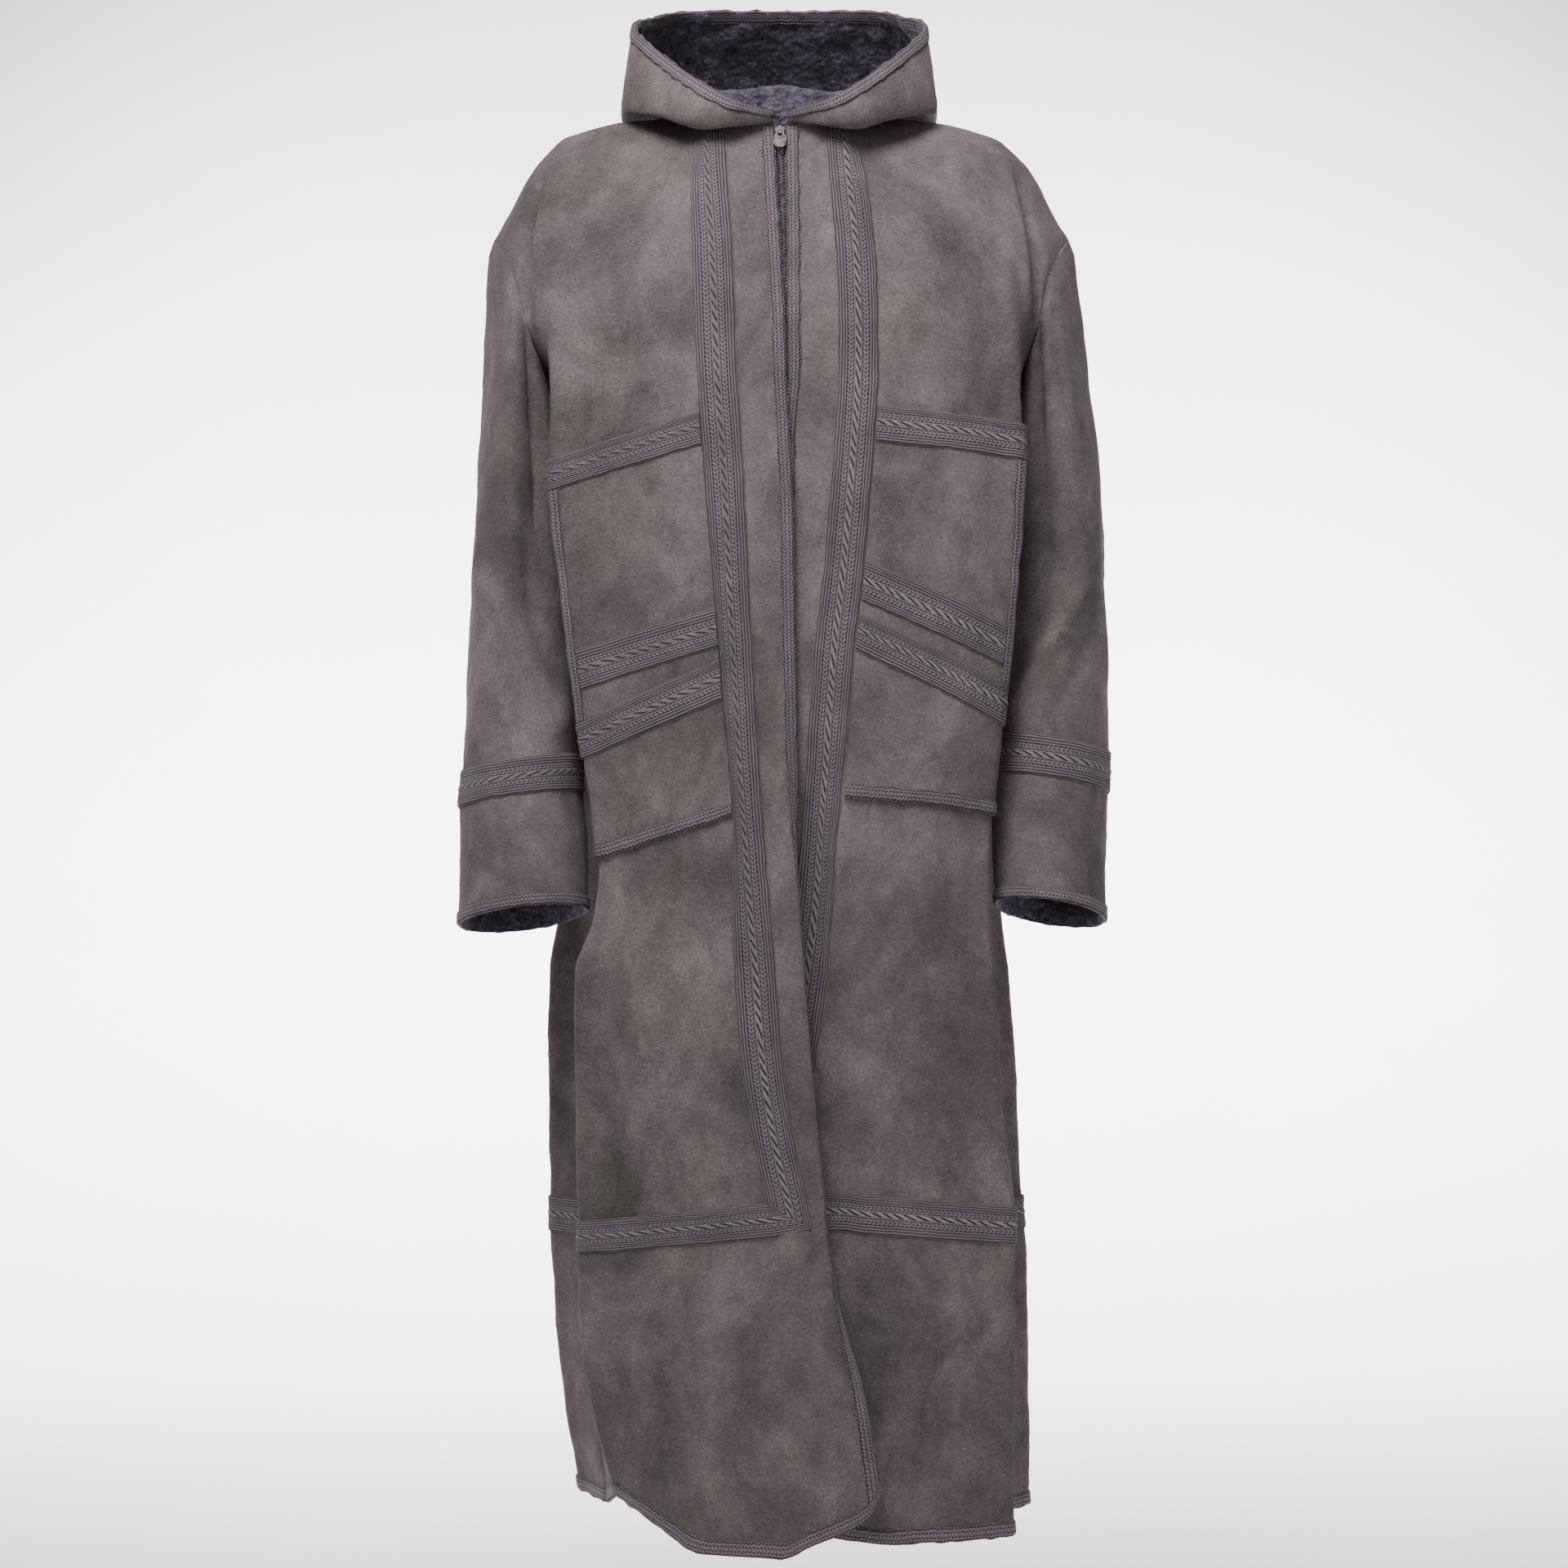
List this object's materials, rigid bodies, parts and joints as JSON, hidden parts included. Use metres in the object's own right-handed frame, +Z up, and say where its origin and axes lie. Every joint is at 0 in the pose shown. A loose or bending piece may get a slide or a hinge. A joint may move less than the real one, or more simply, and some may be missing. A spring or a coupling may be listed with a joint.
{
  "type": "hooded winter abaya",
  "caption": "Hooded full-length front-zip abaya in suede bonded to fur, with knitted braid bands, patch pockets and wide straight sleeves.",
  "frame": {"origin": "middle of the neck opening, level with the shoulders, where the wearer's shoulders carry the garment", "axes": "+Z up along the wearer, -Y out of the front, +X to the wearer's left"},
  "size_m": [0.6236, 0.3471, 1.4852],
  "materials": {
    "suede": "brushed suede, matt, grey-brown and mottled",
    "braid": "knitted braid of mauve-grey yarn",
    "zip_tape": "woven dark zip tape",
    "zip_metal": "die-cast, satin grey"
  },
  "bodies": {
    "garment": {"front_right": "suede", "front_left": "suede", "back": "suede", "sleeve_right": "suede", "sleeve_left": "suede", "hood_right": "suede", "hood_left": "suede", "front_edge_braid_right": "braid", "front_edge_braid_left": "braid", "front_braid_right": "braid", "front_braid_left": "braid", "skirt_band_right": "braid", "skirt_band_left": "braid", "skirt_band_back": "braid", "hem_braid_right": "braid", "hem_braid_left": "braid", "hem_braid_back": "braid", "pocket_right": "suede", "pocket_left": "suede", "pocket_top_braid_right": "braid", "pocket_top_braid_left": "braid", "pocket_upper_slant_right": "braid", "pocket_upper_slant_left": "braid", "pocket_lower_slant_right": "braid", "pocket_lower_slant_left": "braid", "pocket_mouth_braid_right": "braid", "pocket_mouth_braid_left": "braid", "pocket_bottom_braid_right": "braid", "pocket_bottom_braid_left": "braid", "sleeve_braid_right": "braid", "sleeve_braid_left": "braid", "cuff_braid_right": "braid", "cuff_braid_left": "braid", "hood_braid": "braid", "zip_teeth": "zip_metal", "zip_tape_right": "zip_tape", "zip_tape_left": "zip_tape", "zip_slider": "zip_metal"},
    "pull": {"zip_pull": "zip_metal"}
  },
  "joints": [
    {"name": "pull_swing", "type": "hinge", "parent": "garment", "child": "pull", "pos_m": [0, -0.07857, -0.01999], "axis": [-1, 0, 0], "range_deg": [0, 140]}
  ]
}
